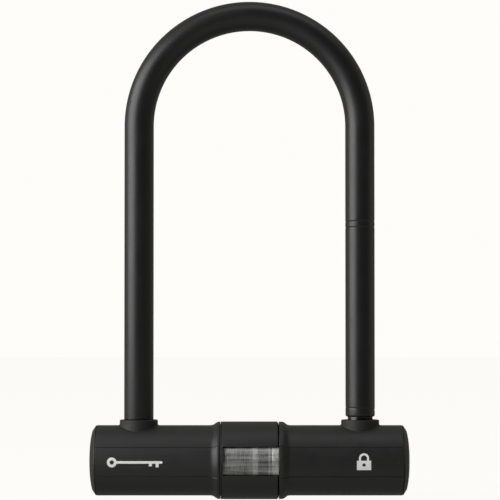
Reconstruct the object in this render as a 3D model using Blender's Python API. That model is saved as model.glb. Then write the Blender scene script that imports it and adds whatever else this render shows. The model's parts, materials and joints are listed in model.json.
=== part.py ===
"""U lock: a hardened steel shackle in a vinyl sleeve, held in a round crossbar by two deadbolts
that a disc cylinder in the middle of the bar pushes apart.

Metres, +Z up. The origin is the middle of the crossbar's axis: +X runs along the bar, +Z up the
shackle's legs, and -Y is the front. The keyhole faces down, away from the shackle. The lock is
drawn with its key turned back, so both deadbolts are clear of the shackle and it can lift out."""

import math

import bmesh
import bpy
from mathutils import Matrix

MM = 0.001

# Shackle
OPENING_WIDTH = 115 * MM  # between the sleeved legs
BAR_RADIUS = 7.5 * MM
SLEEVE_RADIUS = 8.8 * MM
SLEEVE_BORE = 7.7 * MM
LEG_X = OPENING_WIDTH / 2 + SLEEVE_RADIUS  # a leg's axis, which is also the bow's centreline radius
BOW_Z = 200.3 * MM  # centre of the bow, where the straight legs end
LEG_FOOT_Z = -13.6 * MM
SLEEVE_LEFT_Z = 24.6 * MM  # the sleeve meets the left grommet and stops short of the right one
SLEEVE_RIGHT_Z = 26.2 * MM
BEAD_ZS = (143.8 * MM, 140.3 * MM)  # two fine rings pressed into the sleeve's right leg
BEAD_WIDTH = 0.9 * MM
BEAD_DEPTH = 0.3 * MM

# Crossbar tube, jackets and rotating dust cover, all on the X axis
TUBE_RADIUS = 19 * MM
TUBE_BAND_RADIUS = 21.9 * MM  # the raised middle that the dust cover turns on
TUBE_BAND_END = 17.4 * MM
TUBE_BORE = 16 * MM
TUBE_END = 90.5 * MM
JACKET_RADIUS = 21 * MM
JACKET_BORE = 19.3 * MM
JACKET_END = 91.2 * MM
FLARE_RADIUS = 23.1 * MM
FLARE_FACE = 17.6 * MM  # the jackets' inner ends, which the dust cover turns between
FLARE_LEFT_RIM = 19.2 * MM
FLARE_LEFT_FOOT = 21.9 * MM
FLARE_RIGHT_RIM = 20.5 * MM
FLARE_RIGHT_FOOT = 22.7 * MM
PANEL_ANGLE = math.radians(24.3)  # half of the label panel, front and back
PANEL_GROOVE_WIDTH = 0.6 * MM
PANEL_GROOVE_DEPTH = 0.3 * MM
COVER_RADIUS = 23.2 * MM
COVER_END = 17.3 * MM
COVER_STEP = 16.7 * MM  # right of this the cover is stepped down
COVER_STEP_RADIUS = 22.55 * MM
COVER_GROOVE = -16.5 * MM
COVER_BORE = 22.05 * MM
COVER_SLOT_LOW = -7.9 * MM
COVER_SLOT_HIGH = 9.1 * MM
COVER_SLOT_LEFT = -15.6 * MM  # the slot runs from here out of the right end
CAP_END = 95.3 * MM

# Grommets, plugs and pins
GROMMET_RADIUS = 11.4 * MM
GROMMET_TOP = 24.3 * MM
GROMMET_BORE = 7.8 * MM
SPIGOT_RADIUS = 9.3 * MM
PLUG_RADIUS = 15.7 * MM
PLUG_IN = 77.5 * MM
PLUG_OUT = 87.9 * MM
PLUG_PIN_X = 82.5 * MM
PLUG_PIN_RADIUS = 2 * MM
GAP = 0.3 * MM  # between pieces that touch

# Deadbolts: a bar with an arm that passes over the cam
BOLT_HALF_WIDTH = 5.5 * MM
BOLT_LOW = 5.7 * MM
BOLT_HIGH = 11.9 * MM
BOLT_TIP = 57.2 * MM
BOLT_SHOULDER = 12.5 * MM
ARM_END = -6.9 * MM
ARM_INNER = 0.6 * MM
ARM_OUTER = 7.8 * MM
ARM_LOW = 7.2 * MM
ARM_HIGH = 10.2 * MM
NOTCH_CLEARANCE = 0.5 * MM

# Cam: two pins that start 45 degrees before the bolts' mid-travel and end 45 degrees after it
CAM_THROW = 4.6 * MM
CAM_PIN_RADIUS = 1.25 * MM
CAM_PIN_X = CAM_THROW * math.sin(math.radians(45))
BOLT_TRAVEL = 2 * CAM_PIN_X
ARM_SLOT_CLEARANCE = 0.35 * MM

# Disc cylinder, on the Z axis, its face down
FACE_Z = -16.8 * MM
SHELL_RADIUS = 8.5 * MM
SHELL_BORE = 6.6 * MM
SHELL_BACK = 1.6 * MM
DRUM_RADIUS = 6.3 * MM
DRUM_BORE = 5.3 * MM
DRUM_BACK = 4.2 * MM
DRUM_FLOOR = -13.9 * MM
DISC_RADIUS = 5.1 * MM
DISC_THICKNESS = 1.6 * MM
SPACER_THICKNESS = 0.5 * MM
SPACER_BORE = 3.7 * MM
STACK_GAP = 0.2 * MM
DISC_CUTS = (0, 3, 1, 4, 2, 5)  # how far each disc is turned when its gate meets the sidebar
CUT_ANGLE = math.radians(15)
KEY_HALF_LENGTH = 3.5 * MM
KEY_HALF_WIDTH = 1.4 * MM
SIDEBAR_HALF_WIDTH = 0.8 * MM
CROSS_PIN_Z = 2.9 * MM
CROSS_PIN_RADIUS = 0.65 * MM
SHELL_PIN_X = 8.9 * MM
SHELL_PIN_Z = -8 * MM
SHELL_PIN_RADIUS = 1.2 * MM

# Zinc castings inside the tube
CASTING_RADIUS = 15.7 * MM
BODY_HALF_LENGTH = 27 * MM
BODY_SPLIT_Z = 12.4 * MM
GUIDE_IN = 38 * MM
GUIDE_OUT = 56 * MM

LEFT, RIGHT = -1, 1
SIDE_NAMES = {LEFT: "left", RIGHT: "right"}
FINE, MEDIUM, COARSE = 40, 28, 20  # spokes of a turned shape

FINISHES = {  # base colour, roughness, metallic
    "vinyl": ((0.022, 0.022, 0.023), 0.45, 0.0),
    "jacket_plastic": ((0.024, 0.024, 0.025), 0.55, 0.0),
    "grommet_rubber": ((0.018, 0.018, 0.018), 0.65, 0.0),
    "brushed_steel": ((0.45, 0.45, 0.44), 0.35, 1.0),
    "hardened_steel": ((0.12, 0.12, 0.12), 0.4, 1.0),
    "zinc": ((0.5, 0.5, 0.5), 0.5, 1.0),
    "brass": ((0.62, 0.47, 0.22), 0.35, 1.0),
    "spring_steel": ((0.3, 0.3, 0.3), 0.35, 1.0),
}


# ---- tools ----

def clear_scene():
    for obj in list(bpy.data.objects):
        bpy.data.objects.remove(obj, do_unlink=True)


def finish_material(name):
    """The material of that finish, made once."""
    found = bpy.data.materials.get(name)
    if found:
        return found
    colour, roughness, metallic = FINISHES[name]
    made = bpy.data.materials.new(name)
    made.use_nodes = True
    shader = made.node_tree.nodes["Principled BSDF"]
    shader.inputs["Base Color"].default_value = (*colour, 1)
    shader.inputs["Roughness"].default_value = roughness
    shader.inputs["Metallic"].default_value = metallic
    return made


def axis_empty(name):
    """An empty at the origin that a moving piece hangs on: every joint's axis passes through it."""
    empty = bpy.data.objects.new(name, None)
    bpy.context.scene.collection.objects.link(empty)
    return empty


def add_object(name, bm, finish, parent=None, location=(0, 0, 0), turn=0.0):
    """Links bm as an object, shaded smooth with its hard edges kept. turn is about Z."""
    bmesh.ops.recalc_face_normals(bm, faces=bm.faces)
    mesh = bpy.data.meshes.new(name)
    bm.to_mesh(mesh)
    bm.free()
    mesh.shade_smooth()
    mesh.set_sharp_from_angle(angle=math.radians(30))
    obj = bpy.data.objects.new(name, mesh)
    bpy.context.scene.collection.objects.link(obj)
    obj.data.materials.append(finish_material(finish))
    obj.parent = parent
    obj.location = location
    obj.rotation_euler.z = turn
    return obj


def add_helper(name, bm):
    """A cutter or an added shape, which only a Boolean uses."""
    helper = add_object(name, bm, "zinc")
    helper.hide_render = True
    helper.display_type = "WIRE"
    return helper


def combine(obj, operation, *shapes):
    """Adds one exact Boolean for each shape, a bmesh in the scene's own axes."""
    for shape in shapes:
        helper = add_helper(f"{obj.name}_helper_{len(obj.modifiers)}", shape)
        modifier = obj.modifiers.new(operation.title(), "BOOLEAN")
        modifier.operation = operation
        modifier.solver = "EXACT"
        modifier.object = helper
    return obj


def cut(obj, *shapes):
    return combine(obj, "DIFFERENCE", *shapes)


def weld_on(obj, *shapes):
    return combine(obj, "UNION", *shapes)


def even_spokes(steps):
    """(angle, dip) for each spoke of a plain turned shape."""
    return [(2 * math.pi * i / steps, 0.0) for i in range(steps)]


def turned(profile, axis="Z", spokes=FINE, centre=(0, 0, 0), closed=False, dip_above=0.0):
    """A solid of revolution. profile is (along, radius) points from one end of the axis round to
    the other, or a closed ring. About X, angle 0 is the front and a quarter turn is up."""
    if isinstance(spokes, int):
        spokes = even_spokes(spokes)
    bm = bmesh.new()

    def place(along, radius, angle):
        u, v = radius * math.cos(angle), radius * math.sin(angle)
        point = {"X": (along, -u, v), "Y": (v, along, u), "Z": (u, v, along)}[axis]
        return bm.verts.new([p + c for p, c in zip(point, centre)])

    rings = []
    for along, radius in profile:
        if radius == 0:
            rings.append([place(along, 0, 0)])
            continue
        dips = [dip if radius > dip_above else 0.0 for _, dip in spokes]
        rings.append([place(along, radius - dip, angle) for (angle, _), dip in zip(spokes, dips)])

    pairs = list(zip(rings, rings[1:])) + ([(rings[-1], rings[0])] if closed else [])
    count = len(spokes)
    for first, second in pairs:
        for i in range(count):
            j = (i + 1) % count
            corners = [first[i % len(first)], first[j % len(first)]]
            corners += [second[j % len(second)], second[i % len(second)]]
            bm.faces.new(dict.fromkeys(corners))
    return bm


def rod(axis, radius, low, high, centre=(0, 0, 0), spokes=COARSE, chamfer=0.0):
    """A plain or chamfered cylinder along an axis."""
    profile = [(low, 0), (low, radius), (high, radius), (high, 0)]
    if chamfer:
        profile[1:3] = [
            (low, radius - chamfer), (low + chamfer, radius),
            (high - chamfer, radius), (high, radius - chamfer),
        ]
    return turned(profile, axis, spokes, centre)


def block(low, high):
    """A box between two opposite corners."""
    bm = bmesh.new()
    bmesh.ops.create_cube(bm, size=1)
    for vert in bm.verts:
        vert.co = [a + (c + 0.5) * (b - a) for a, b, c in zip(low, high, vert.co)]
    return bm


def extruded(outline, low, high):
    """An XY outline extruded along Z."""
    bm = bmesh.new()
    floor = [bm.verts.new((x, y, low)) for x, y in outline]
    roof = [bm.verts.new((x, y, high)) for x, y in outline]
    bm.faces.new(reversed(floor))
    bm.faces.new(roof)
    for i in range(len(outline)):
        j = (i + 1) % len(outline)
        bm.faces.new((floor[i], floor[j], roof[j], roof[i]))
    return bm


def stadium(half_length, half_width, arc_steps=4):
    """A slot's outline along X, with round ends."""
    centre = half_length - half_width
    points = []
    for sign in (1, -1):
        for i in range(arc_steps + 1):
            angle = -math.pi / 2 + math.pi * i / arc_steps
            x = sign * (centre + half_width * math.cos(angle))
            points.append((x, sign * half_width * math.sin(angle)))
    return points


def u_path(left_z, right_z, stops=(), bow_steps=24):
    """(x, z, outward direction) stations up the left leg, round the bow and down the right leg.
    stops are extra heights on the right leg."""
    path = [(-LEG_X, left_z, math.pi)]
    for i in range(bow_steps + 1):
        angle = math.pi * (1 - i / bow_steps)
        path.append((LEG_X * math.cos(angle), BOW_Z + LEG_X * math.sin(angle), angle))
    path += [(LEG_X, z, 0.0) for z in stops]
    return path + [(LEG_X, right_z, 0.0)]


def swept(path, skins, spokes=COARSE):
    """A tube swept along u_path's stations. skins holds one list of radii, or an outer and an
    inner one; a tube with no inner skin is solid."""
    bm = bmesh.new()
    loops = []
    for radii in skins:
        rings = []
        for (x, z, outward), radius in zip(path, radii):
            ring = []
            for i in range(spokes):
                turn = 2 * math.pi * i / spokes
                reach = radius * math.cos(turn)
                at = (x + reach * math.cos(outward), radius * math.sin(turn), z + reach * math.sin(outward))
                ring.append(bm.verts.new(at))
            rings.append(ring)
        loops.append(rings)
    for rings in loops:
        for first, second in zip(rings, rings[1:]):
            for i in range(spokes):
                j = (i + 1) % spokes
                bm.faces.new((first[i], first[j], second[j], second[i]))
    for end in (0, -1):
        if len(loops) == 1:
            bm.faces.new(loops[0][end])
            continue
        outer, inner = loops[0][end], loops[1][end]
        for i in range(spokes):
            j = (i + 1) % spokes
            bm.faces.new((outer[i], outer[j], inner[j], inner[i]))
    return bm


# ---- shackle ----

def build_shackle():
    lift = axis_empty("shackle_lift")
    chamfer = 1.6 * MM
    path = u_path(LEG_FOOT_Z, LEG_FOOT_Z, stops=(LEG_FOOT_Z + chamfer,))
    path.insert(1, (-LEG_X, LEG_FOOT_Z + chamfer, math.pi))
    radii = [BAR_RADIUS] * len(path)
    radii[0] = radii[-1] = BAR_RADIUS - chamfer
    bar = add_object("shackle_bar", swept(path, [radii], 16), "hardened_steel", lift)
    notch_floor = BOLT_TIP + BOLT_TRAVEL + NOTCH_CLEARANCE
    notch_out = LEG_X - BAR_RADIUS - 1 * MM
    for side in (LEFT, RIGHT):
        near, far = sorted((side * notch_out, side * notch_floor))
        cut(bar, block(
            (near, -BAR_RADIUS - MM, BOLT_LOW - NOTCH_CLEARANCE),
            (far, BAR_RADIUS + MM, BOLT_HIGH + NOTCH_CLEARANCE),
        ))

    end_chamfer = 0.7 * MM
    stops, dips = [], []
    for z in BEAD_ZS:
        stops += [z + BEAD_WIDTH / 2, z, z - BEAD_WIDTH / 2]
        dips += [0, BEAD_DEPTH, 0]
    stops.append(SLEEVE_RIGHT_Z + end_chamfer)
    path = u_path(SLEEVE_LEFT_Z, SLEEVE_RIGHT_Z, stops)
    outer = [SLEEVE_RADIUS] * (len(path) - len(stops) - 1)
    outer += [SLEEVE_RADIUS - dip for dip in dips] + [SLEEVE_RADIUS, SLEEVE_RADIUS - end_chamfer]
    inner = [SLEEVE_BORE] * len(path)
    add_object("shackle_sleeve", swept(path, [outer, inner]), "vinyl", lift)


# ---- crossbar shell ----

def build_tube():
    edge = 0.6 * MM
    line_x, line_half, line_depth = 13.5 * MM, 0.35 * MM, 0.2 * MM
    profile = [
        (-TUBE_END, TUBE_BORE), (-TUBE_END, TUBE_RADIUS - edge), (-TUBE_END + edge, TUBE_RADIUS),
        (-TUBE_BAND_END, TUBE_RADIUS), (-TUBE_BAND_END, TUBE_BAND_RADIUS),
        (line_x - line_half, TUBE_BAND_RADIUS), (line_x, TUBE_BAND_RADIUS - line_depth),
        (line_x + line_half, TUBE_BAND_RADIUS),
        (TUBE_BAND_END, TUBE_BAND_RADIUS), (TUBE_BAND_END, TUBE_RADIUS),
        (TUBE_END - edge, TUBE_RADIUS), (TUBE_END, TUBE_RADIUS - edge), (TUBE_END, TUBE_BORE),
    ]
    tube = add_object("crossbar_tube", turned(profile, "X", closed=True), "brushed_steel")
    reach = TUBE_RADIUS + 5 * MM
    for side in (LEFT, RIGHT):
        cut(tube, rod("Z", SPIGOT_RADIUS + GAP, 0, reach, (side * LEG_X, 0, 0), MEDIUM))
        cut(tube, rod("Y", PLUG_PIN_RADIUS + GAP, -reach, reach, (side * PLUG_PIN_X, 0, 0)))
    cut(tube, rod("Z", SHELL_RADIUS + GAP, -reach, 0, spokes=MEDIUM))


def grooved_spokes():
    """Spokes of a jacket: even ones, with a V groove at each edge of both label panels."""
    half = PANEL_GROOVE_WIDTH / 2 / JACKET_RADIUS
    grooves = [
        middle + sign * PANEL_ANGLE for middle in (0, math.pi) for sign in (-1, 1)
    ]
    grooves = [g % (2 * math.pi) for g in grooves]
    spokes = [
        (angle, dip) for angle, dip in even_spokes(FINE)
        if all(abs(angle - g) > 2 * half for g in grooves)
    ]
    for g in grooves:
        spokes += [(g - half, 0.0), (g, PANEL_GROOVE_DEPTH), (g + half, 0.0)]
    return sorted(spokes)


def build_jacket(side):
    edge = 0.3 * MM
    if side == LEFT:
        rim, foot = FLARE_LEFT_RIM, FLARE_LEFT_FOOT
    else:
        rim, foot = FLARE_RIGHT_RIM, FLARE_RIGHT_FOOT
    profile = [
        (JACKET_END, JACKET_BORE), (JACKET_END, JACKET_RADIUS - edge), (JACKET_END - edge, JACKET_RADIUS),
        (foot, JACKET_RADIUS), (rim, FLARE_RADIUS),
        (FLARE_FACE + edge, FLARE_RADIUS), (FLARE_FACE, FLARE_RADIUS - edge), (FLARE_FACE, JACKET_BORE),
    ]
    profile = [(side * along, radius) for along, radius in profile]
    shape = turned(profile, "X", grooved_spokes(), closed=True, dip_above=JACKET_BORE + MM)
    jacket = add_object(f"jacket_{SIDE_NAMES[side]}", shape, "jacket_plastic")
    cut(jacket, rod("Z", GROMMET_RADIUS + 0.2 * MM, 5 * MM, 30 * MM, (side * LEG_X, 0, 0), MEDIUM))


def build_grommet(side):
    """A rubber bush: a flange on the tube, in the jacket's hole, with a spigot through the wall."""
    edge, foot = 0.8 * MM, 8 * MM
    flange = [
        (foot, 0), (foot, GROMMET_RADIUS), (GROMMET_TOP - edge, GROMMET_RADIUS),
        (GROMMET_TOP - 0.3 * edge, GROMMET_RADIUS - 0.3 * edge), (GROMMET_TOP, GROMMET_RADIUS - edge),
        (GROMMET_TOP, 0),
    ]
    at = (side * LEG_X, 0, 0)
    name = f"grommet_{SIDE_NAMES[side]}"
    grommet = add_object(name, turned(flange, "Z", MEDIUM), "grommet_rubber", location=at)
    cut(grommet, rod("X", TUBE_RADIUS + GAP, -20 * MM, 20 * MM, at, FINE))
    weld_on(grommet, rod("Z", SPIGOT_RADIUS, 14.2 * MM, 22 * MM, at, MEDIUM))
    cut(grommet, rod("Z", GROMMET_BORE, 0, 30 * MM, at, MEDIUM))


def build_end_cap(side):
    """A plastic cap: a chamfered, slightly domed disc with a flat middle, and a spigot."""
    flat, dome_foot, dome_radius = 7 * MM, 17.8 * MM, 42 * MM
    spigot_in, seat, rim = 88.3 * MM, JACKET_END + 0.2 * MM, 91.8 * MM
    profile = [
        (spigot_in, 0), (spigot_in, PLUG_RADIUS - 0.5 * MM), (seat, PLUG_RADIUS - 0.5 * MM),
        (seat, JACKET_RADIUS - 0.2 * MM), (rim, JACKET_RADIUS - 0.2 * MM),
    ]
    steps = 3
    for i in range(steps + 1):
        radius = dome_foot + (flat - dome_foot) * i / steps
        profile.append((CAP_END - (radius - flat) ** 2 / (2 * dome_radius), radius))
    profile.append((CAP_END, 0))
    profile = [(side * along, radius) for along, radius in profile]
    add_object(f"end_cap_{SIDE_NAMES[side]}", turned(profile, "X"), "jacket_plastic")


def build_end_plug(side):
    """A steel plug in the tube's end, with the pin that holds it there."""
    low, high = sorted((side * PLUG_IN, side * PLUG_OUT))
    name = SIDE_NAMES[side]
    shape = rod("X", PLUG_RADIUS, low, high, chamfer=0.8 * MM)
    plug = add_object(f"end_plug_{name}", shape, "hardened_steel")
    at = (side * PLUG_PIN_X, 0, 0)
    cut(plug, rod("Y", PLUG_PIN_RADIUS + GAP, -20 * MM, 20 * MM, at))
    pin_half = TUBE_RADIUS - 0.4 * MM
    pin = rod("Y", PLUG_PIN_RADIUS, -pin_half, pin_half, chamfer=0.5 * MM, spokes=12)
    add_object(f"plug_pin_{name}", pin, "spring_steel", location=at)


def build_dust_cover():
    """A sleeve that turns on the tube between the jackets. Its slot is open at the right end."""
    turn = axis_empty("dust_cover_axis")
    edge, groove_half, groove_depth = 0.2 * MM, 0.3 * MM, 0.35 * MM
    profile = [
        (-COVER_END, COVER_BORE), (-COVER_END, COVER_RADIUS - edge), (-COVER_END + edge, COVER_RADIUS),
        (COVER_GROOVE - groove_half, COVER_RADIUS), (COVER_GROOVE, COVER_RADIUS - groove_depth),
        (COVER_GROOVE + groove_half, COVER_RADIUS),
        (COVER_STEP, COVER_RADIUS), (COVER_STEP, COVER_STEP_RADIUS), (COVER_END, COVER_STEP_RADIUS),
        (COVER_END, COVER_BORE),
    ]
    cover = add_object("dust_cover", turned(profile, "X", closed=True), "jacket_plastic", turn)
    cut(cover, block(
        (COVER_SLOT_LEFT, -30 * MM, COVER_SLOT_LOW), (20 * MM, -10 * MM, COVER_SLOT_HIGH),
    ))


# ---- castings and deadbolts ----

def casting(low, high):
    """A round slug that fits the tube's bore."""
    return rod("X", CASTING_RADIUS, low, high, spokes=MEDIUM, chamfer=0.5 * MM)


def bolt_channel(low_x, high_x):
    """The space a deadbolt slides in, open at the top of the lock body."""
    side = BOLT_HALF_WIDTH + GAP
    return block((low_x, -side, BOLT_LOW - GAP), (high_x, side, BOLT_HIGH + GAP))


def build_lock_body():
    """The zinc body round the cylinder, and the lid that closes its trough."""
    ends = (-BODY_HALF_LENGTH, BODY_HALF_LENGTH)
    reach = 40 * MM
    above = block((-reach, -reach, BODY_SPLIT_Z), (reach, reach, reach))
    body = add_object("lock_body", casting(*ends), "zinc")
    trough = block(
        (-BOLT_SHOULDER - BOLT_TRAVEL - MM, -ARM_OUTER - 0.4 * MM, DRUM_BACK - 0.2 * MM),
        (BOLT_SHOULDER + BOLT_TRAVEL + MM, ARM_OUTER + 0.4 * MM, reach),
    )
    channel = block(
        (-reach, -BOLT_HALF_WIDTH - GAP, BOLT_LOW - GAP), (reach, BOLT_HALF_WIDTH + GAP, reach),
    )
    cut(
        body, above, trough, channel,
        rod("Z", SHELL_RADIUS + GAP, -reach, DRUM_BACK + MM, spokes=MEDIUM),
        shell_pin_hole(),
    )
    lid = add_object("lock_body_lid", casting(*ends), "zinc")
    cut(lid, block((-reach, -reach, -reach), (reach, reach, BODY_SPLIT_Z + GAP)))


def build_bolt_guide(side):
    low, high = sorted((side * GUIDE_IN, side * GUIDE_OUT))
    guide = add_object(f"bolt_guide_{SIDE_NAMES[side]}", casting(low, high), "zinc")
    cut(guide, bolt_channel(low - MM, high + MM))


def build_deadbolt(side):
    """The right bolt, or the same bolt turned half round for the left."""
    slide = axis_empty(f"deadbolt_{SIDE_NAMES[side]}_slide")
    tip = 1.2 * MM
    width = BOLT_HALF_WIDTH
    outline = [
        (BOLT_SHOULDER, -width), (BOLT_TIP - tip, -width), (BOLT_TIP, -width + tip),
        (BOLT_TIP, width - tip), (BOLT_TIP - tip, width), (BOLT_SHOULDER, width),
    ]
    turn = 0.0 if side == RIGHT else math.pi
    name = f"deadbolt_{SIDE_NAMES[side]}"
    bolt = add_object(name, extruded(outline, BOLT_LOW, BOLT_HIGH), "hardened_steel", slide, turn=turn)
    root = BOLT_SHOULDER + MM
    arm = [
        (ARM_END, ARM_INNER), (BOLT_SHOULDER - MM, ARM_INNER), (root, ARM_INNER),
        (root, width - MM), (BOLT_SHOULDER - MM, ARM_OUTER), (ARM_END, ARM_OUTER),
    ]
    reach = CAM_PIN_RADIUS + ARM_SLOT_CLEARANCE
    slot = [
        (-CAM_PIN_X - reach, CAM_PIN_X - reach), (-CAM_PIN_X + reach, CAM_PIN_X - reach),
        (-CAM_PIN_X + reach, CAM_THROW + reach), (-CAM_PIN_X - reach, CAM_THROW + reach),
    ]
    arm = [(side * x, side * y) for x, y in arm]
    slot = [(side * x, side * y) for x, y in slot]
    weld_on(bolt, extruded(arm, ARM_LOW, ARM_HIGH))
    cut(bolt, extruded(slot, ARM_LOW - MM, ARM_HIGH + MM))


# ---- disc cylinder ----

def shell_pin_hole():
    centre = (SHELL_PIN_X, 0, SHELL_PIN_Z)
    return rod("Y", SHELL_PIN_RADIUS + 0.2 * MM, -20 * MM, 20 * MM, centre)


def build_shell():
    """The cylinder's fixed housing and the pin that holds it in the lock body."""
    lip_bore, lip = 5.6 * MM, 1.4 * MM
    profile = [
        (FACE_Z, lip_bore), (FACE_Z, SHELL_RADIUS - 0.4 * MM), (FACE_Z + 0.4 * MM, SHELL_RADIUS),
        (SHELL_BACK, SHELL_RADIUS), (SHELL_BACK, SHELL_BORE), (FACE_Z + lip, SHELL_BORE),
        (FACE_Z + lip, lip_bore),
    ]
    shell = add_object("cylinder_shell", turned(profile, "Z", MEDIUM, closed=True), "brass")
    groove = block(
        (-SHELL_BORE - 0.9 * MM, -SIDEBAR_HALF_WIDTH - GAP, DRUM_FLOOR),
        (-SHELL_BORE + MM, SIDEBAR_HALF_WIDTH + GAP, SHELL_BACK + MM),
    )
    cut(shell, groove, shell_pin_hole())
    half = 12.8 * MM
    pin = rod("Y", SHELL_PIN_RADIUS, -half, half, chamfer=0.3 * MM, spokes=12)
    add_object("shell_pin", pin, "spring_steel", location=(SHELL_PIN_X, 0, SHELL_PIN_Z))


def gate(low, high):
    """The notch in the rim of each disc and spacer that the sidebar sits in, at the front."""
    half = SIDEBAR_HALF_WIDTH + 0.25 * MM
    return block((-half, -DISC_RADIUS - MM, low), (half, -DISC_RADIUS + MM, high))


def build_core():
    """What the key turns: the drum, its discs and spacers, the sidebar, the cam and its pin."""
    axis = axis_empty("key_axis")
    recess, nose, shoulder, recess_floor = 4.5 * MM, 5.3 * MM, -15.1 * MM, -15.6 * MM
    profile = [
        (recess_floor, 0), (recess_floor, recess), (FACE_Z, recess), (FACE_Z, nose), (shoulder, nose),
        (shoulder, DRUM_RADIUS), (DRUM_BACK, DRUM_RADIUS), (DRUM_BACK, DRUM_BORE),
        (DRUM_FLOOR, DRUM_BORE), (DRUM_FLOOR, 0),
    ]
    drum = add_object("core_drum", turned(profile, "Z", MEDIUM), "brass", axis)
    keyhole = stadium(KEY_HALF_LENGTH + 0.2 * MM, KEY_HALF_WIDTH + 0.2 * MM)
    slot_half = SIDEBAR_HALF_WIDTH + 0.2 * MM
    sidebar_top = 0.3 * MM
    cut(
        drum, extruded(keyhole, -18 * MM, -13 * MM),
        block((-slot_half, -8 * MM, DRUM_FLOOR + 0.1 * MM), (slot_half, -4.8 * MM, sidebar_top)),
        rod("X", CROSS_PIN_RADIUS + 0.15 * MM, -8 * MM, 8 * MM, (0, 0, CROSS_PIN_Z), 16),
    )

    shield = add_object(
        "key_shield", rod("Z", recess - 0.2 * MM, -16.5 * MM, -15.8 * MM), "spring_steel", axis,
    )
    cut(shield, extruded(stadium(KEY_HALF_LENGTH, KEY_HALF_WIDTH), -18 * MM, -15 * MM))

    pitch = DISC_THICKNESS + SPACER_THICKNESS + 2 * STACK_GAP
    for i, steps in enumerate(DISC_CUTS):
        low = DRUM_FLOOR + STACK_GAP + i * pitch
        disc = add_object(
            f"disc_{i + 1}", rod("Z", DISC_RADIUS, 0, DISC_THICKNESS, spokes=COARSE), "brass", axis,
            location=(0, 0, low),
        )
        slot = extruded(stadium(KEY_HALF_LENGTH, KEY_HALF_WIDTH), low - MM, low + DISC_THICKNESS + MM)
        bmesh.ops.rotate(slot, verts=slot.verts, matrix=Matrix.Rotation(steps * CUT_ANGLE, 3, "Z"))
        cut(disc, slot, gate(low - MM, low + DISC_THICKNESS + MM))
        if i == len(DISC_CUTS) - 1:
            break
        low += DISC_THICKNESS + STACK_GAP
        ring = [
            (0, SPACER_BORE), (0, DISC_RADIUS),
            (SPACER_THICKNESS, DISC_RADIUS), (SPACER_THICKNESS, SPACER_BORE),
        ]
        shape = turned(ring, "Z", COARSE, closed=True)
        spacer = add_object(f"spacer_{i + 1}", shape, "spring_steel", axis, location=(0, 0, low))
        cut(spacer, gate(low - MM, low + SPACER_THICKNESS + MM))

    half = SIDEBAR_HALF_WIDTH
    sidebar = block((-half, -6.1 * MM, DRUM_FLOOR + GAP), (half, -4.35 * MM, sidebar_top - 0.2 * MM))
    add_object("sidebar", sidebar, "spring_steel", axis)
    build_cam(axis)


def build_cam(axis):
    shank, shank_foot, plate_low, plate_high = 4.9 * MM, 0.9 * MM, DRUM_BACK + GAP, 6.8 * MM
    plate = CAM_THROW + CAM_PIN_RADIUS + 0.9 * MM
    profile = [
        (shank_foot, 0), (shank_foot, shank), (plate_low, shank), (plate_low, plate),
        (plate_high, plate), (plate_high, 0),
    ]
    cam = add_object("drive_cam", turned(profile, "Z", MEDIUM), "hardened_steel", axis)
    pin_top = ARM_HIGH + 0.3 * MM
    for side in (LEFT, RIGHT):
        at = (side * CAM_PIN_X, -side * CAM_PIN_X, 0)
        weld_on(cam, rod("Z", CAM_PIN_RADIUS, plate_high - MM, pin_top, at, 16))
    cut(cam, rod("X", CROSS_PIN_RADIUS + 0.15 * MM, -8 * MM, 8 * MM, (0, 0, CROSS_PIN_Z), 12))
    half = DRUM_RADIUS - 0.2 * MM
    pin = rod("X", CROSS_PIN_RADIUS, -half, half, chamfer=0.15 * MM, spokes=12)
    add_object("cam_pin", pin, "spring_steel", axis, location=(0, 0, CROSS_PIN_Z))


def main():
    clear_scene()
    build_shackle()
    build_tube()
    for side in (LEFT, RIGHT):
        build_jacket(side)
        build_grommet(side)
        build_end_cap(side)
        build_end_plug(side)
        build_bolt_guide(side)
        build_deadbolt(side)
    build_dust_cover()
    build_lock_body()
    build_shell()
    build_core()


main()
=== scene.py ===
import json
import math

import bmesh
import bpy
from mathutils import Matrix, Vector


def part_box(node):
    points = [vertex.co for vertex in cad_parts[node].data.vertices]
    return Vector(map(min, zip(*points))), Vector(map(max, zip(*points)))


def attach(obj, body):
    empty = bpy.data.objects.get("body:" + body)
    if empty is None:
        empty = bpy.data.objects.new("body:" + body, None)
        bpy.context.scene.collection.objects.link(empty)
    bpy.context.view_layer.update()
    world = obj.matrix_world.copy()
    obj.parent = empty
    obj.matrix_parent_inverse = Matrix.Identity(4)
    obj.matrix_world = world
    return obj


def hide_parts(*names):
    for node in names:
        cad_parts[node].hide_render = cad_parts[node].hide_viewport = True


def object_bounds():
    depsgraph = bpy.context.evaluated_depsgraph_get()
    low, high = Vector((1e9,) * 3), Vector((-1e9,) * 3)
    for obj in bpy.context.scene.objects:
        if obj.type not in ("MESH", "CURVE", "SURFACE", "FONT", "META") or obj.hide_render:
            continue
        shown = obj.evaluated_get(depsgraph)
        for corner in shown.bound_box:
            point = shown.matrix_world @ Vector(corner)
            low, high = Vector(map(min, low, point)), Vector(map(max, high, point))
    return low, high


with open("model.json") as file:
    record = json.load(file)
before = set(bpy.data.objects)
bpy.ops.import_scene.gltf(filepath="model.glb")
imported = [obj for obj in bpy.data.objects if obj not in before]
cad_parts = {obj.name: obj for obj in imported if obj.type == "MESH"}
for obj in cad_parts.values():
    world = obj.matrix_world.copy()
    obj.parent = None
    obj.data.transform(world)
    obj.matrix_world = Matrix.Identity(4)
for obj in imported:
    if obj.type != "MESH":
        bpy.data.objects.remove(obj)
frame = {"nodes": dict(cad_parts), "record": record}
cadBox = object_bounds()
mm = 0.001

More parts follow.
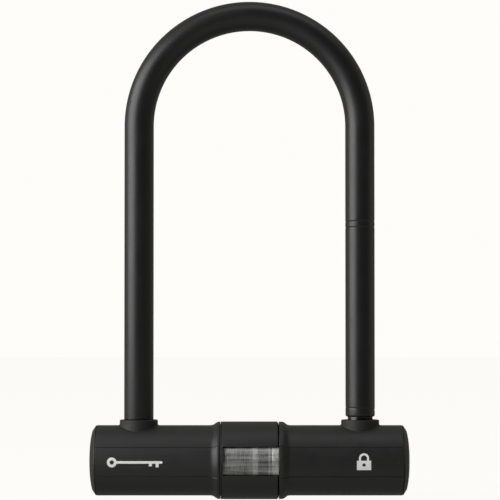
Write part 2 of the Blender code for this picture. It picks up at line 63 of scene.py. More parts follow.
# where the CAD pieces are
barLow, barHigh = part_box("shackle_bar")
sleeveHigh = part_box("shackle_sleeve")[1]
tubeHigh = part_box("crossbar_tube")[1]
coverLow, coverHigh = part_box("dust_cover")
legX = sum(corner.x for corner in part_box("grommet_right")) / 2
barRadius = barHigh.y
sleeveRadius = sleeveHigh.y
coverRadius = coverHigh.y
bowZ = sleeveHigh.z - sleeveRadius - legX
sides = {"left": -1, "right": 1}


def linear(hexText):
    channels = [int(hexText[i:i + 2], 16) / 255 for i in (1, 3, 5)]
    return (*[c / 12.92 if c <= 0.04045 else ((c + 0.055) / 1.055) ** 2.4 for c in channels], 1.0)


def addNode(tree, kind, settings=None, inputs=None):
    # a node with its settings; an input is a value, or the output that feeds it
    node = tree.nodes.new(kind)
    for name, value in (settings or {}).items():
        setattr(node, name, value)
    for name, value in (inputs or {}).items():
        if isinstance(value, bpy.types.NodeSocket):
            tree.links.new(value, node.inputs[name])
        else:
            node.inputs[name].default_value = value
    return node


def startMaterial(name, fixed):
    # a Principled surface with its constant values, and its object coordinates in metres
    material = bpy.data.materials.new(name)
    material.use_nodes = True
    tree = material.node_tree
    surface = tree.nodes["Principled BSDF"]
    for socket, value in fixed.items():
        surface.inputs[socket].default_value = value
    where = addNode(tree, "ShaderNodeTexCoord").outputs["Object"]
    return material, tree, surface, where


def grainedMaterial(name, look):
    # mottled colour, uneven sheen and a fine raised grain, for everything moulded, cast or drawn
    material, tree, surface, where = startMaterial(name, look["fixed"])
    mottle = addNode(tree, "ShaderNodeTexNoise", inputs={
        "Vector": where, "Scale": 1000 / look["mottleMm"], "Detail": 4.0, "Roughness": 0.6})
    colour = addNode(tree, "ShaderNodeValToRGB", inputs={"Fac": mottle.outputs["Fac"]})
    colour.color_ramp.elements[0].position = 0.3
    colour.color_ramp.elements[0].color = linear(look["dark"])
    colour.color_ramp.elements[1].position = 0.7
    colour.color_ramp.elements[1].color = linear(look["light"])
    tree.links.new(colour.outputs["Color"], surface.inputs["Base Color"])
    grain = addNode(tree, "ShaderNodeTexNoise", inputs={
        "Vector": where, "Scale": 1000 / look["grainMm"], "Detail": 2.0, "Roughness": 0.5})
    rubbed = addNode(tree, "ShaderNodeMath", {"operation": "MULTIPLY_ADD"}, {
        0: grain.outputs["Fac"], 1: 0.4, 2: mottle.outputs["Fac"]})
    sheen = addNode(tree, "ShaderNodeMapRange", inputs={
        "Value": rubbed.outputs[0], "From Min": 0.45, "From Max": 0.95,
        "To Min": look["roughness"][0], "To Max": look["roughness"][1]})
    tree.links.new(sheen.outputs["Result"], surface.inputs["Roughness"])
    bump = addNode(tree, "ShaderNodeBump", inputs={
        "Height": grain.outputs["Fac"], "Strength": look["bump"], "Distance": look["depthMm"] * mm})
    tree.links.new(bump.outputs["Normal"], surface.inputs["Normal"])
    return material


# plasticised PVC, dip moulded: a soft broad sheen with hardly any texture
mouldedVinyl = grainedMaterial("moulded vinyl", {
    "dark": "#0b0b0b", "light": "#0f0f0f", "mottleMm": 14,
    "grainMm": 0.9,  # drawn 3 times coarser to show
    "roughness": (0.38, 0.46), "bump": 0.05, "depthMm": 0.05,
    "fixed": {"IOR": 1.53, "Metallic": 0.0}})

# glass filled nylon from a spark eroded mould: satin, with a fine even grain
erodedNylon = grainedMaterial("spark eroded nylon", {
    "dark": "#141414", "light": "#1a1a1a", "mottleMm": 9,
    "grainMm": 0.7,  # drawn twice as coarse to show
    "roughness": (0.46, 0.58), "bump": 0.14, "depthMm": 0.06,
    "fixed": {"IOR": 1.53, "Metallic": 0.0}})

# thermoplastic elastomer: duller and a little browner than the nylon beside it
mouldedElastomer = grainedMaterial("moulded elastomer", {
    "dark": "#141413", "light": "#1b1b1a", "mottleMm": 5,
    "grainMm": 1.0,  # drawn twice as coarse to show
    "roughness": (0.56, 0.72), "bump": 0.3, "depthMm": 0.08,
    "fixed": {"IOR": 1.5, "Metallic": 0.0}})

# near-black for the step at the cover's right end: painted shade, standing in for the shadow in the gap
# between the turning cover and the right jacket
paintedGapShade = grainedMaterial("painted gap shade", {
    "dark": "#020202", "light": "#050505", "mottleMm": 2, "grainMm": 0.4,
    "roughness": (0.85, 0.95), "bump": 0.3, "depthMm": 0.05,
    "fixed": {"IOR": 1.2, "Metallic": 0.0}})

# boron steel with a black oxide skin: dark, half glossy, with drawing marks
blackOxideSteel = grainedMaterial("black oxide steel", {
    "dark": "#3a3a3b", "light": "#545453", "mottleMm": 3, "grainMm": 0.35,
    "roughness": (0.24, 0.4), "bump": 0.15, "depthMm": 0.03,
    "fixed": {"Metallic": 1.0}})

# zinc alloy as it leaves the die: grey and slightly cloudy
dieCastZinc = grainedMaterial("die cast zinc", {
    "dark": "#8a8b8c", "light": "#a5a6a6", "mottleMm": 6, "grainMm": 0.5,
    "roughness": (0.38, 0.55), "bump": 0.25, "depthMm": 0.05,
    "fixed": {"Metallic": 1.0}})

# free cutting brass from a lathe: warm, bright, faintly streaked
turnedBrass = grainedMaterial("turned brass", {
    "dark": "#b8964f", "light": "#cfb069", "mottleMm": 4, "grainMm": 0.3,
    "roughness": (0.22, 0.36), "bump": 0.12, "depthMm": 0.02,
    "fixed": {"Metallic": 1.0}})

# cold drawn spring steel: clean and bright
drawnSteel = grainedMaterial("cold drawn steel", {
    "dark": "#8f9092", "light": "#a9aaab", "mottleMm": 2, "grainMm": 0.25,
    "roughness": (0.2, 0.34), "bump": 0.1, "depthMm": 0.02,
    "fixed": {"Metallic": 1.0}})

# pad printed ink: flat matt white with slightly uneven cover
padPrintedInk = grainedMaterial("pad printed ink", {
    "dark": "#efefed", "light": "#fafaf8", "mottleMm": 1.5, "grainMm": 0.3,
    "roughness": (0.5, 0.62), "bump": 0.05, "depthMm": 0.01,
    "fixed": {"IOR": 1.5, "Metallic": 0.0}})


def brushedTubeMaterial(look):
    # bare mild steel, belt finished while it turns: fine hoops round the tube, stretched reflections
    material, tree, surface, where = startMaterial("brushed steel", {
        "Metallic": 1.0, "Anisotropic": look["anisotropy"], "Anisotropic Rotation": 0.25})
    hoops = addNode(tree, "ShaderNodeMapping", inputs={"Vector": where, "Scale": look["hoopScale"]})
    bands = addNode(tree, "ShaderNodeMapping", inputs={"Vector": where, "Scale": look["bandScale"]})
    scratches = addNode(tree, "ShaderNodeTexNoise", inputs={
        "Vector": hoops.outputs["Vector"], "Scale": 1.0, "Detail": 5.0, "Roughness": 0.7})
    passes = addNode(tree, "ShaderNodeTexNoise", inputs={
        "Vector": bands.outputs["Vector"], "Scale": 1.0, "Detail": 3.0, "Roughness": 0.6})
    along = addNode(tree, "ShaderNodeSeparateXYZ", inputs={"Vector": where})
    # listed light and dark bands painted into the colour along the tube's axis; where they fall off past
    # the window's ends, that is painted shade
    span = look["toneSpan"]
    spot = addNode(tree, "ShaderNodeMapRange", inputs={
        "Value": along.outputs["X"], "From Min": -span * mm, "From Max": span * mm})
    toneAlong = addNode(tree, "ShaderNodeValToRGB", inputs={"Fac": spot.outputs["Result"]})
    ramp = toneAlong.color_ramp
    for x, grey in look["toneMarks"]:
        stop = ramp.elements.new(0.5 + x / span / 2)
        stop.color = (grey, grey, grey, 1)
    ramp.elements[0].color = ramp.elements[-1].color = (*[look["paintedShadeEnds"]] * 3, 1)
    mixed = addNode(tree, "ShaderNodeMath", {"operation": "MULTIPLY_ADD"}, {
        0: scratches.outputs["Fac"], 1: look["scratchWeight"], 2: passes.outputs["Fac"]})
    both = addNode(tree, "ShaderNodeMath", {"operation": "MULTIPLY_ADD"}, {
        0: toneAlong.outputs["Color"], 1: look["toneWeight"], 2: mixed.outputs[0]})
    share = addNode(tree, "ShaderNodeMapRange", inputs={
        "Value": both.outputs[0], "From Min": look["markRange"][0], "From Max": look["markRange"][1]})
    colour = addNode(tree, "ShaderNodeValToRGB", inputs={"Fac": share.outputs["Result"]})
    colour.color_ramp.elements[0].color = linear(look["dark"])
    colour.color_ramp.elements[1].color = linear(look["light"])
    tree.links.new(colour.outputs["Color"], surface.inputs["Base Color"])
    sheen = addNode(tree, "ShaderNodeMapRange", inputs={
        "Value": mixed.outputs[0], "From Min": 0.5, "From Max": 1.1,
        "To Min": look["roughness"][0], "To Max": look["roughness"][1]})
    tree.links.new(sheen.outputs["Result"], surface.inputs["Roughness"])
    bump = addNode(tree, "ShaderNodeBump", inputs={
        "Height": scratches.outputs["Fac"], "Strength": look["bump"], "Distance": look["depthMm"] * mm})
    tree.links.new(bump.outputs["Normal"], surface.inputs["Normal"])
    hoopWay = addNode(tree, "ShaderNodeTangent", {"direction_type": "RADIAL", "axis": "X"})
    tree.links.new(hoopWay.outputs["Tangent"], surface.inputs["Tangent"])
    return material


brushedSteel = brushedTubeMaterial({
    "dark": "#5a5a58", "light": "#d0d0cc", "roughness": (0.32, 0.5), "anisotropy": 0.6,
    "bump": 0.35, "depthMm": 0.02, "scratchWeight": 0.9, "toneWeight": 0.5, "markRange": (0.84, 1.5),
    "hoopScale": (3200, 260, 260),  # scratches 0.3 mm apart along the tube, drawn 5 times too wide
    "bandScale": (25, 560, 560),  # streaks of the belt's passes, 2 mm apart and 40 mm long
    "toneSpan": 20, "paintedShadeEnds": 0.3, "toneMarks": [  # light and dark bands painted along the tube: mm along it, and how bright it is there; past the window's ends it falls to a darker grey, painted shade in the gaps and under the jackets
        (-15, 0.2), (-12, 0.3), (-2, 0.25), (1, 0.4), (2.6, 0.85), (4.2, 0.8), (5.6, 0.2), (10.8, 0.22),
        (11.6, 0.85), (12.6, 0.35), (13.6, 0.8), (14.6, 1.0), (16.6, 1.1), (17.5, 0.5)]})


def skin(name, rings, loop=False):
    # quads between neighbouring rings; a ring of one point is a pole
    mesh = bmesh.new()
    made = [[mesh.verts.new(point) for point in ring] for ring in rings]
    pairs = list(zip(made, made[1:])) + ([(made[-1], made[0])] if loop else [])
    count = max(len(ring) for ring in made)
    for first, second in pairs:
        for i in range(count):
            j = (i + 1) % count
            corners = [first[i % len(first)], first[j % len(first)]]
            corners += [second[j % len(second)], second[i % len(second)]]
            mesh.faces.new(dict.fromkeys(corners))
    if not loop:
        for ring in (made[0], made[-1]):
            if len(ring) > 1:
                mesh.faces.new(ring)
    bmesh.ops.recalc_face_normals(mesh, faces=mesh.faces)
    data = bpy.data.meshes.new(name)
    mesh.to_mesh(data)
    mesh.free()
    made = bpy.data.objects.new(name, data)
    bpy.context.scene.collection.objects.link(made)
    return made


def rounded(corners, closed=False, steps=5):
    # corners are (along, across, radius of the edge); each edge becomes a short curve
    points = []
    for i, (x, y, size) in enumerate(corners):
        if size == 0 or (not closed and i in (0, len(corners) - 1)):
            points.append((x, y))
            continue
        corner = Vector((x, y))
        before = Vector(corners[i - 1][:2]) - corner
        after = Vector(corners[(i + 1) % len(corners)][:2]) - corner
        start = corner + before.normalized() * min(size, before.length * 0.49)
        end = corner + after.normalized() * min(size, after.length * 0.49)
        for step in range(steps + 1):
            t = step / steps
            points.append(tuple(start * (1 - t) ** 2 + corner * (2 * t * (1 - t)) + end * t ** 2))
    return points


def evenSpokes(count):
    return [(2 * math.pi * i / count, 0.0) for i in range(count)]


def turnedX(name, profile, spokes, loop=False, dipAbove=0.0):
    # profile is (along X, radius) in mm; angle 0 is the front and a quarter turn is up
    rings = []
    for along, radius in profile:
        if radius == 0:
            rings.append([(along * mm, 0, 0)])
            continue
        ring = []
        for angle, dip in spokes:
            r = (radius - (dip if radius > dipAbove else 0)) * mm
            ring.append((along * mm, -r * math.cos(angle), r * math.sin(angle)))
        rings.append(ring)
    return skin(name, rings, loop)


def rodAlong(axis, radius, low, high, centre, count=96):
    # a plain cutter, in mm
    rings = []
    for along in (low, high):
        ring = []
        for i in range(count):
            u = radius * math.cos(2 * math.pi * i / count)
            v = radius * math.sin(2 * math.pi * i / count)
            point = {"X": (along, u, v), "Y": (u, along, v), "Z": (u, v, along)}[axis]
            ring.append(tuple((p + c) * mm for p, c in zip(point, centre)))
        rings.append(ring)
    return skin("cutter", rings)


def blockBetween(low, high):
    # a box cutter, in mm
    ring = [(low[0], low[1]), (high[0], low[1]), (high[0], high[1]), (low[0], high[1])]
    return skin("cutter", [[(x * mm, y * mm, z * mm) for x, y in ring] for z in (low[2], high[2])])


def settle(piece):
    # the modifiers' result becomes the piece's own mesh
    shapes = bpy.context.evaluated_depsgraph_get()
    result = bpy.data.meshes.new_from_object(piece.evaluated_get(shapes))
    piece.modifiers.clear()
    piece.data = result


def carve(piece, cutters, operation="DIFFERENCE"):
    for cutter in cutters:
        change = piece.modifiers.new("carve", "BOOLEAN")
        change.operation = operation
        change.solver = "EXACT"
        change.object = cutter
    settle(piece)
    for cutter in cutters:
        bpy.data.objects.remove(cutter, do_unlink=True)


def softenEdges(piece, width, steps=3, angle=45):
    bevel = piece.modifiers.new("edges", "BEVEL")
    bevel.width = width * mm
    bevel.segments = steps
    bevel.limit_method = "ANGLE"
    bevel.angle_limit = math.radians(angle)
    settle(piece)


def place(piece, material, body, nodes=()):
    # smooth shading with crisp corners, then the finish and what the piece stands for
    piece.data.shade_smooth()
    piece.data.set_sharp_from_angle(angle=math.radians(32))
    piece.data.materials.clear()
    piece.data.materials.append(material)
    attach(piece, body)
    if nodes:
        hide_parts(*nodes)
    return piece


shackle = {
    "spokes": 72, "bowSteps": 90, "sleeveBore": 7.7, "leftEnd": 24.6, "rightEnd": 26.2,
    "leftRounding": 0.25, "rightRounding": 1.0,
    "bands": [  # height, slope across the leg, depth and half width of each ring in the right leg
        (143.1, 0.02, 0.22, 0.34), (139.6, 0.02, 0.22, 0.34), (31.0, -0.09, 0.16, 0.5)],
    "innerSteps": 48, "footChamfer": 1.6,
    # the notches that the deadbolts catch: from notchMouth out to notchFloor, right across the bar
    "notchFloor": 64.2, "notchMouth": 57.7, "notchLow": 5.2, "notchHigh": 12.4, "notchReach": 9}


def sweepU(name, stations, spokes, loop):
    # a station is (x, z, the way that points out of the bow, radius at each turn round the bar)
    rings = []
    for x, z, outward, radiusAt in stations:
        ring = []
        for i in range(spokes):
            turn = 2 * math.pi * i / spokes
            r = radiusAt(turn) * mm
            reach = r * math.cos(turn)
            ring.append((
                x + reach * math.cos(outward), r * math.sin(turn), z + reach * math.sin(outward)))
        rings.append(ring)
    return skin(name, rings, loop)


def plain(radius):
    return lambda turn: radius


def bowStations(radius, steps):
    made = []
    for i in range(steps + 1):
        angle = math.pi * (1 - i / steps)
        made.append((legX * math.cos(angle), bowZ + legX * math.sin(angle), angle, plain(radius)))
    return made


def buildSleeve(look):
    outer = sleeveRadius / mm

    def legRadius(z):
        def radiusAt(turn):
            r = outer
            for height, slope, depth, half in look["bands"]:
                away = z - height - slope * outer * math.cos(turn)
                r -= depth * math.exp(-(away / half) ** 2)
            return r
        return radiusAt

    def endCurve(end, edge):
        # quarter rounds from the end face up to the full radius
        made = []
        for step in range(6):
            a = math.pi / 2 * step / 5
            made.append((end + edge * (1 - math.sin(a)), outer - edge * (1 - math.cos(a))))
        return made

    rightZs = []
    for height, slope, depth, half in look["bands"]:
        rightZs += [height + half * 0.4 * k for k in range(-8, 9)]
    rightZs = sorted({round(z, 3) for z in rightZs + [bowZ / mm - 10 * k for k in range(1, 17)]
                      if z > look["rightEnd"] + look["rightRounding"]}, reverse=True)
    leftFoot = endCurve(look["leftEnd"], look["leftRounding"])[::-1]
    rightFoot = endCurve(look["rightEnd"], look["rightRounding"])
    stations = [(-legX, z * mm, math.pi, plain(r)) for z, r in leftFoot]
    stations += bowStations(outer, look["bowSteps"])
    stations += [(legX, z * mm, 0.0, legRadius(z)) for z in rightZs]
    stations += [(legX, z * mm, 0.0, plain(r)) for z, r in rightFoot]
    inner = [(legX, look["rightEnd"] * mm, 0.0, plain(look["sleeveBore"]))]
    inner += bowStations(look["sleeveBore"], look["innerSteps"])[::-1]
    inner += [(-legX, look["leftEnd"] * mm, math.pi, plain(look["sleeveBore"]))]
    sleeve = sweepU("vinyl_sleeve", stations + inner, look["spokes"], True)
    return place(sleeve, mouldedVinyl, "shackle", ["shackle_sleeve"])


def buildBar(look):
    foot = barLow.z / mm
    chamfer = look["footChamfer"]
    radius = barRadius / mm
    stations = [
        (-legX, foot * mm, math.pi, plain(radius - chamfer)),
        (-legX, (foot + chamfer * 0.4) * mm, math.pi, plain(radius - chamfer * 0.35)),
        (-legX, (foot + chamfer) * mm, math.pi, plain(radius))]
    stations += bowStations(radius, look["innerSteps"])
    stations += [
        (legX, (foot + chamfer) * mm, 0.0, plain(radius)),
        (legX, (foot + chamfer * 0.4) * mm, 0.0, plain(radius - chamfer * 0.35)),
        (legX, foot * mm, 0.0, plain(radius - chamfer))]
    bar = sweepU("steel_bar", stations, look["spokes"], False)
    mouth, floor, reach = look["notchMouth"], look["notchFloor"], look["notchReach"]
    low, high = look["notchLow"], look["notchHigh"]
    carve(bar, [
        blockBetween((-floor, -reach, low), (-mouth, reach, high)),
        blockBetween((mouth, -reach, low), (floor, reach, high))])
    return place(bar, blackOxideSteel, "shackle", ["shackle_bar"])


buildSleeve(shackle)
buildBar(shackle)
print("shackle done")


tube = {
    "spokes": 192, "bore": 16, "radius": 19, "edge": 0.6, "bandEnd": 17.4,
    "lineX": 13.5, "lineHalf": 0.3, "lineDepth": 0.12,
    "legHole": 9.6, "keyHole": 8.8, "pinX": 82.5, "pinHole": 2.3}


def buildTube(look):
    end, band = tubeHigh.x / mm, tubeHigh.z / mm
    line, half = look["lineX"], look["lineHalf"]
    profile = rounded([
        (-end, look["bore"], 0), (-end, look["radius"], look["edge"]),
        (-look["bandEnd"], look["radius"], 0),
        (-look["bandEnd"], band, 0.2), (line - half, band, 0.1), (line, band - look["lineDepth"], 0.1),
        (line + half, band, 0.1), (look["bandEnd"], band, 0.2), (look["bandEnd"], look["radius"], 0),
        (end, look["radius"], look["edge"]), (end, look["bore"], 0)], True)
    piece = turnedX("turned_tube", profile, evenSpokes(look["spokes"]), True)
    cutters = [rodAlong("Z", look["keyHole"], -40, 0, (0, 0, 0))]
    for side in sides.values():
        cutters.append(rodAlong("Z", look["legHole"], 0, 40, (side * legX / mm, 0, 0)))
        cutters.append(rodAlong("Y", look["pinHole"], -40, 40, (side * look["pinX"], 0, 0), 48))
    carve(piece, cutters)
    return place(piece, brushedSteel, "crossbar", ["crossbar_tube"])


buildTube(tube)
print("tube done")


jacket = {
    "bore": 19.3, "radius": 21.0, "evenSpokes": 192, "holeRadius": 11.0,
    "endEdge": 0.3, "flareRadius": 23.1, "flareBend": 1.65, "faceEdge": 0.3,
    "flares": {"left": (19.2, 21.9), "right": (20.5, 22.7)},  # rim and foot of each flared inner end
    "panelAngle": math.radians(24.3), "grooveWidth": 0.5, "grooveDepth": 0.26,
    "grooveClear": 2.2}  # half widths each side of a groove without any other spoke


def jacketSpokes(look):
    half = look["grooveWidth"] / 2 / look["radius"]
    grooves = [m + s * look["panelAngle"] for m in (0, math.pi) for s in (-1, 1)]
    grooves = [g % (2 * math.pi) for g in grooves]
    spokes = [
        (a, d) for a, d in evenSpokes(look["evenSpokes"])
        if all(abs(a - g) > look["grooveClear"] * half for g in grooves)]
    shape = ((-1.4, 0.0), (-1.0, 0.06), (-0.5, 0.75), (0, 1.0), (0.5, 0.75), (1.0, 0.06), (1.4, 0.0))
    for g in grooves:
        spokes += [(g + at * half, depth * look["grooveDepth"]) for at, depth in shape]
    return sorted(spokes)


def buildJacket(name, side, look):
    low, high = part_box(f"jacket_{name}")
    face, end = sorted((abs(low.x) / mm, abs(high.x) / mm))
    rim, foot = look["flares"][name]
    corners = [
        (end, look["bore"], 0), (end, look["radius"], look["endEdge"]),
        (foot, look["radius"], look["flareBend"]), (rim, look["flareRadius"], look["flareBend"]),
        (face, look["flareRadius"], look["faceEdge"]), (face, look["bore"], 0)]
    profile = [(side * along, radius) for along, radius in rounded(corners, True)]
    piece = turnedX(f"{name}_jacket", profile, jacketSpokes(look), True, look["bore"] + 1)
    carve(piece, [rodAlong("Z", look["holeRadius"], 5, 30, (side * legX / mm, 0, 0))])
    return place(piece, erodedNylon, "crossbar", [f"jacket_{name}"])


for name, side in sides.items():
    buildJacket(name, side, jacket)
print("jackets done")


collar = {
    "bore": 7.8, "wall": 11.4, "foot": 12.3, "fillet": 0.9, "lip": 0.8, "boreEdge": 0.5,
    "jacketRadius": 21.0, "seatDepth": 4.5, "filletRise": 0.25, "footRise": 0.05, "footTuck": (0.2, 0.5),
    "skirt": (0.6, 2.0), "skirtEnd": 2.2, "spokes": 120}


def buildCollar(name, side, look):
    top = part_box(f"grommet_{name}")[1].z / mm

    def onJacket(reach, angle):
        # height of the jacket's surface at that reach from the leg's axis
        return math.sqrt(look["jacketRadius"] ** 2 - (reach * math.sin(angle)) ** 2)

    columns = []
    for i in range(look["spokes"]):
        angle = 2 * math.pi * i / look["spokes"]
        base = onJacket(look["foot"], angle)
        seat = onJacket(look["bore"], angle) - look["seatDepth"]
        tuckIn, tuckDown = look["footTuck"]
        skirtIn, skirtUp = look["skirt"]
        corners = [
            (look["bore"], seat, 0), (look["bore"], top, look["boreEdge"]),
            (look["wall"], top, look["lip"]), (look["wall"], base + look["filletRise"], look["fillet"]),
            (look["foot"], base + look["footRise"], 0.1),
            (look["foot"] - tuckIn, base - tuckDown, 0), (look["wall"] - skirtIn, seat + skirtUp, 0),
            (look["wall"] - look["skirtEnd"], seat, 0)]
        columns.append([(angle, r, z) for r, z in rounded(corners, True, 4)])
    rings = [
        [(side * legX + r * mm * math.cos(a), r * mm * math.sin(a), z * mm) for a, r, z in level]
        for level in zip(*columns)]
    piece = skin(f"{name}_collar", rings, True)
    return place(piece, mouldedElastomer, "crossbar", [f"grommet_{name}"])


for name, side in sides.items():
    buildCollar(name, side, collar)
print("collars done")


cap = {
    "seat": 91.4, "seatEdge": 0.2, "rim": 91.9, "rimEdge": 0.35, "radius": 20.85,
    "dome": 17.8, "domeEdge": 0.5, "crown": 42.0, "flat": 7.0,
    "spigot": 15.2, "spigotEdge": 0.5, "spigotEnd": 88.3, "steps": 14, "spokes": 160}


def buildCap(name, side, look):
    end = abs(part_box(f"end_cap_{name}")[0 if side < 0 else 1].x) / mm
    domeFoot = end - (look["dome"] - look["flat"]) ** 2 / (2 * look["crown"])
    corners = [
        (look["spigotEnd"], 0, 0), (look["spigotEnd"], look["spigot"], look["spigotEdge"]),
        (look["seat"], look["spigot"], 0), (look["seat"], look["radius"], look["seatEdge"]),
        (look["rim"], look["radius"], look["rimEdge"]), (domeFoot, look["dome"], look["domeEdge"])]
    profile = rounded(corners)[:-1]
    for i in range(look["steps"] + 1):
        radius = look["dome"] + (look["flat"] - look["dome"]) * i / look["steps"]
        profile.append((end - (radius - look["flat"]) ** 2 / (2 * look["crown"]), radius))
    profile.append((end, 0))
    piece = turnedX(f"{name}_cap", [(side * x, r) for x, r in profile], evenSpokes(look["spokes"]))
    return place(piece, erodedNylon, "crossbar", [f"end_cap_{name}"])


for name, side in sides.items():
    buildCap(name, side, cap)
print("end caps done")


cover = {
    "bore": 22.05, "edge": 0.2, "slotLow": -7.9, "slotHigh": 9.1, "slotLeft": -15.6, "slotEdge": 0.12,
    "grooveX": -16.5, "grooveHalf": 0.3, "grooveDepth": 0.35, "stepX": 16.7, "stepRadius": 22.55}


def buildCover(look):
    left, right = coverLow.x / mm, coverHigh.x / mm
    radius = coverRadius / mm
    groove, half = look["grooveX"], look["grooveHalf"]
    corners = [
        (left, look["bore"], 0), (left, radius, look["edge"]), (groove - half, radius, 0.15),
        (groove, radius - look["grooveDepth"], 0.1), (groove + half, radius, 0.15),
        (look["stepX"], radius, 0.15), (look["stepX"], look["stepRadius"], 0),
        (right, look["stepRadius"], 0.1), (right, look["bore"], 0)]
    piece = turnedX("turning_cover", rounded(corners, True), evenSpokes(192), True)
    # the window goes through the front wall only, and runs out past the right end
    carve(piece, [blockBetween(
        (look["slotLeft"], -30, look["slotLow"]), (right + 2, -10, look["slotHigh"]))])
    softenEdges(piece, look["slotEdge"], 2)
    place(piece, erodedNylon, "dust_cover", ["dust_cover"])
    piece.data.materials.append(paintedGapShade)  # the step at the right end gets the painted shade of the gap beside the jacket
    for face in piece.data.polygons:
        if face.center.x > (look["stepX"] + 0.02) * mm:
            face.material_index = 1
    return piece


buildCover(cover)
print("dust cover done")


marks = {
    "radius": 21.0, "lift": 0.03, "slice": 0.5, "slices": 14,
    "keyCentre": -67.6, "keyLength": 33.0, "keyBow": 2.9, "keyEye": 1.25, "keyHalf": 0.75,
    "keyNeck": math.radians(15), "keyTeeth": [(8.2, 6.4, 2.3), (4.2, 2.4, 2.9)],
    "padlockCentre": 67.5, "bodyHalf": 4.2, "bodyLow": -4.6, "bodyHigh": 1.0,
    "hole": (-1.5, 0.95), "archCentre": 2.4, "archRadii": (3.0, 1.75)}


def circlePoints(x, z, radius, count=28, start=0.0, sweep=2 * math.pi):
    full = abs(sweep) > 6.2
    steps = count if full else count + 1
    angles = [start + sweep * i / count for i in range(steps)]
    return [(x + radius * math.cos(a), z + radius * math.sin(a)) for a in angles]


def printMark(name, outlines, look):
    # flat shapes in mm, cut fine and laid on the jacket's round front; a shape in a shape is a hole
    curve = bpy.data.curves.new(name, "CURVE")
    curve.dimensions = "2D"
    curve.fill_mode = "BOTH"
    for outline in outlines:
        spline = curve.splines.new("POLY")
        spline.points.add(len(outline) - 1)
        for point, (x, z) in zip(spline.points, outline):
            point.co = (x, z, 0, 1)
        spline.use_cyclic_u = True
    flat = bpy.data.objects.new(name, curve)
    bpy.context.scene.collection.objects.link(flat)
    shapes = bpy.context.evaluated_depsgraph_get()
    data = bpy.data.meshes.new_from_object(flat.evaluated_get(shapes))
    bpy.data.objects.remove(flat, do_unlink=True)
    mesh = bmesh.new()
    mesh.from_mesh(data)
    for k in range(-look["slices"], look["slices"] + 1):  # so that the print follows the curve
        geometry = list(mesh.verts) + list(mesh.edges) + list(mesh.faces)
        cut = (0, k * look["slice"], 0)
        bmesh.ops.bisect_plane(mesh, geom=geometry, plane_co=cut, plane_no=(0, 1, 0))
    bmesh.ops.triangulate(mesh, faces=mesh.faces)
    r = look["radius"] + look["lift"]
    for vert in mesh.verts:
        x, arc = vert.co.x, vert.co.y / look["radius"]
        vert.co = (x * mm, -r * math.cos(arc) * mm, r * math.sin(arc) * mm)
    for face in mesh.faces:
        face.normal_update()
        if face.normal.y > 0:
            face.normal_flip()
    mesh.to_mesh(data)
    mesh.free()
    piece = bpy.data.objects.new(name, data)
    bpy.context.scene.collection.objects.link(piece)
    return place(piece, padPrintedInk, "crossbar")


def keyOutlines(look):
    left = look["keyCentre"] - look["keyLength"] / 2
    right = look["keyCentre"] + look["keyLength"] / 2
    bow, half, start = look["keyBow"], look["keyHalf"], look["keyNeck"]
    neck = left + bow + bow * math.cos(start)
    outer = circlePoints(left + bow, 0, bow, 40, start, 2 * math.pi - 2 * start)
    blade = [(neck, -half)]
    for near, far, depth in look["keyTeeth"]:
        blade += [(right - near, -half), (right - near, -depth)]
        blade += [(right - far, -depth), (right - far, -half)]
    blade += [(right - 0.7, -half), (right, 0), (right - 0.7, half), (neck, half)]
    return [outer + blade, circlePoints(left + bow, 0, look["keyEye"])]


def padlockOutlines(look):
    x, half, low, high = look["padlockCentre"], look["bodyHalf"], look["bodyLow"], look["bodyHigh"]
    outer, inner = look["archRadii"]
    body = [(x - half, low), (x + half, low), (x + half, high), (x - half, high)]
    arch = circlePoints(x, look["archCentre"], outer, 24, 0, math.pi)
    arch += [(x - outer, high), (x - inner, high)]
    arch += circlePoints(x, look["archCentre"], inner, 24, math.pi, -math.pi)
    arch += [(x + inner, high), (x + outer, high)]
    return [body, circlePoints(x, *look["hole"]), arch]


printMark("key_mark", keyOutlines(marks), marks)
printMark("padlock_mark", padlockOutlines(marks), marks)
print("marks done")


innerFinishes = {
    "hardened_steel": blackOxideSteel, "zinc": dieCastZinc, "brass": turnedBrass,
    "spring_steel": drawnSteel, "brushed_steel": brushedSteel, "vinyl": mouldedVinyl,
    "jacket_plastic": erodedNylon, "grommet_rubber": mouldedElastomer}
for row in frame["record"]["subparts"]:
    node = frame["nodes"][row["node"]]
    node.data.materials.clear()
    node.data.materials.append(innerFinishes[row["material_slot"]])
print("inner pieces done")


stage = {
    "white": "#fefdf9", "floorSize": 12.0, "floorDrop": 0.1, "floorGlow": 0.95, "floorColour": "#38383a",
    "floorRoughness": 0.9, "floorSpecular": 0.1, "lightAim": (0, 0, 0.12),
    "frontLight": 0.1, "lowLight": 0.42, "sideLight": 0.32, "underLight": 0.26}
lights = {  # place, size and power of each softbox
    "leftSoftbox": ((-1.15, -0.57, 0.46), (1.3, 1.1), 23),
    "topSoftbox": ((0.1, -0.35, 1.5), (1.6, 0.6), 3.6),
    "rightStrip": ((1.3, 0.1, 0.2), (0.25, 1.2), 0.5)}
view = {"distance": 1.3, "across": 0.3, "height": 80, "aim": 126, "frameWidth": 300, "shift": 0.05}


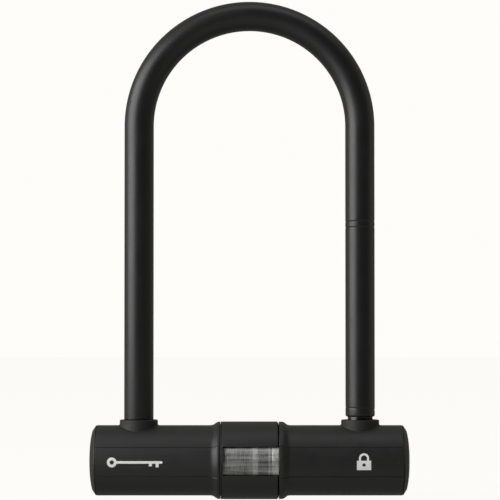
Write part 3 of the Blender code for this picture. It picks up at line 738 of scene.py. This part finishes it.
def buildFloor(look):
    half = look["floorSize"] / 2
    low = (cadBox[0].z / mm - look["floorDrop"]) * mm
    ring = [(-half, -half, low), (half, -half, low), (half, half, low), (-half, half, low)]
    mesh = bmesh.new()
    mesh.faces.new([mesh.verts.new(point) for point in ring])
    data = bpy.data.meshes.new("studio_floor")
    mesh.to_mesh(data)
    mesh.free()
    floor = bpy.data.objects.new("studio_floor", data)
    bpy.context.scene.collection.objects.link(floor)
    paper = bpy.data.materials.new("pale paper")
    paper.use_nodes = True
    surface = paper.node_tree.nodes["Principled BSDF"]
    surface.inputs["Base Color"].default_value = linear(look["floorColour"])
    surface.inputs["Emission Color"].default_value = linear(look["white"])
    surface.inputs["Emission Strength"].default_value = look["floorGlow"]
    surface.inputs["Roughness"].default_value = look["floorRoughness"]
    surface.inputs["Specular IOR Level"].default_value = look["floorSpecular"]
    data.materials.append(paper)
    floor.visible_glossy = floor.visible_diffuse = False  # it glows for the eye, and lights nothing
    return floor


def buildWorld(look):
    # the room is pale behind and at the sides, dim in front, and darkest straight below
    world = bpy.data.worlds.new("studio")
    bpy.context.scene.world = world
    world.use_nodes = True
    tree = world.node_tree
    tree.nodes.clear()
    way = addNode(tree, "ShaderNodeTexCoord").outputs["Generated"]
    parts = addNode(tree, "ShaderNodeSeparateXYZ", inputs={"Vector": way})
    front = addNode(tree, "ShaderNodeMapRange", {"interpolation_type": "SMOOTHSTEP"}, {
        "Value": parts.outputs["Z"], "From Min": 0.1, "From Max": -0.5,
        "To Min": look["frontLight"], "To Max": look["lowLight"]})
    behind = addNode(tree, "ShaderNodeMapRange", {"interpolation_type": "SMOOTHSTEP"}, {
        "Value": parts.outputs["Z"], "From Min": -0.9, "From Max": -0.1,
        "To Min": look["underLight"], "To Max": look["sideLight"]})
    facing = addNode(tree, "ShaderNodeMapRange", {"interpolation_type": "SMOOTHSTEP"}, {
        "Value": parts.outputs["Y"], "From Min": -0.75, "From Max": 0.15})
    strength = addNode(tree, "ShaderNodeMix", inputs={
        "Factor": facing.outputs["Result"], "A": front.outputs["Result"], "B": behind.outputs["Result"]})
    seen = addNode(tree, "ShaderNodeLightPath").outputs["Is Camera Ray"]
    lit = addNode(tree, "ShaderNodeBackground", inputs={
        "Color": linear(look["white"]), "Strength": strength.outputs["Result"]})
    shown = addNode(tree, "ShaderNodeBackground", inputs={
        "Color": linear(look["white"]), "Strength": 1.0})
    mix = addNode(tree, "ShaderNodeMixShader", inputs={0: seen, 1: lit.outputs[0], 2: shown.outputs[0]})
    addNode(tree, "ShaderNodeOutputWorld", inputs={"Surface": mix.outputs[0]})


def buildLights(look):
    for name, (at, size, power) in lights.items():
        data = bpy.data.lights.new(name, "AREA")
        data.shape = "RECTANGLE"
        data.size, data.size_y = size
        data.energy = power
        lamp = bpy.data.objects.new(name, data)
        bpy.context.scene.collection.objects.link(lamp)
        lamp.location = at
        aim = Vector(look["lightAim"]) - lamp.location
        lamp.rotation_euler = aim.to_track_quat("-Z", "Y").to_euler()


def buildCamera(look):
    data = bpy.data.cameras.new("camera")
    data.lens = data.sensor_width * look["distance"] / (look["frameWidth"] * mm)
    data.shift_y = look["shift"]
    camera = bpy.data.objects.new("camera", data)
    bpy.context.scene.collection.objects.link(camera)
    camera.location = (look["across"] * mm, -look["distance"], look["height"] * mm)
    rise = math.atan((look["aim"] - look["height"]) * mm / look["distance"])
    shifted = math.atan(look["shift"] * data.sensor_width / data.lens)
    camera.rotation_euler = (math.pi / 2 + rise - shifted, 0, 0)
    bpy.context.scene.camera = camera


bpy.context.scene.view_settings.view_transform = "Standard"
buildFloor(stage)
buildWorld(stage)
buildLights(stage)
buildCamera(view)
print("stage done")
